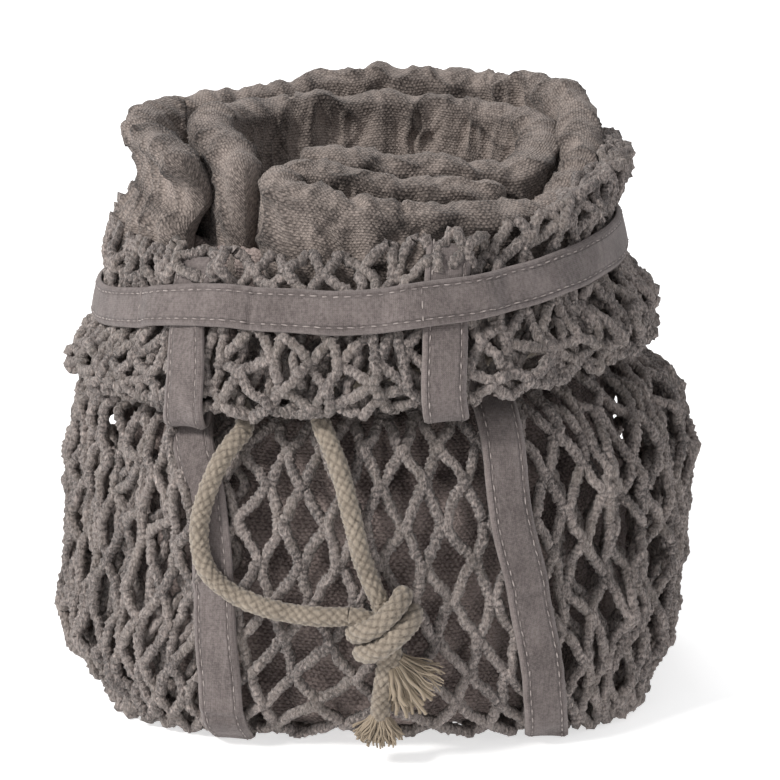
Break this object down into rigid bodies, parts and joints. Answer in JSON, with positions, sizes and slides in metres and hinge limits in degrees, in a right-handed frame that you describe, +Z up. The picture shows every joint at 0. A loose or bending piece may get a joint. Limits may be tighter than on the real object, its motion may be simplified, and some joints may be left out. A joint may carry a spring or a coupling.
{
  "type": "mesh bag holding a rolled cloth",
  "caption": "Round drawstring net bag with a tape-bound mouth folded over its cord, sewn-on tapes and a knotted cord, holding a rolled crinkled cloth.",
  "frame": {"origin": "middle of the bag's footprint, on the surface it stands on, without its hanging cord", "axes": "+Z up; the front, with the hanging cord and knot, faces -Y; +X is to the right in the picture"},
  "size_m": [0.1887, 0.1742, 0.1713],
  "materials": {
    "knit": "soft knitted cotton yarn, taupe",
    "tape": "plain woven cotton tape, grey mauve",
    "cord": "braided cotton cord, beige",
    "cloth": "coarse puckered plain weave, taupe"
  },
  "bodies": {
    "root": {"net": "knit", "mouth_band": "tape", "strap_left": "tape", "strap_right": "tape", "drawstring": "cord", "cord_left": "cord", "cord_right": "cord", "cord_knot": "cord", "rolled_cloth": "cloth"}
  },
  "joints": []
}
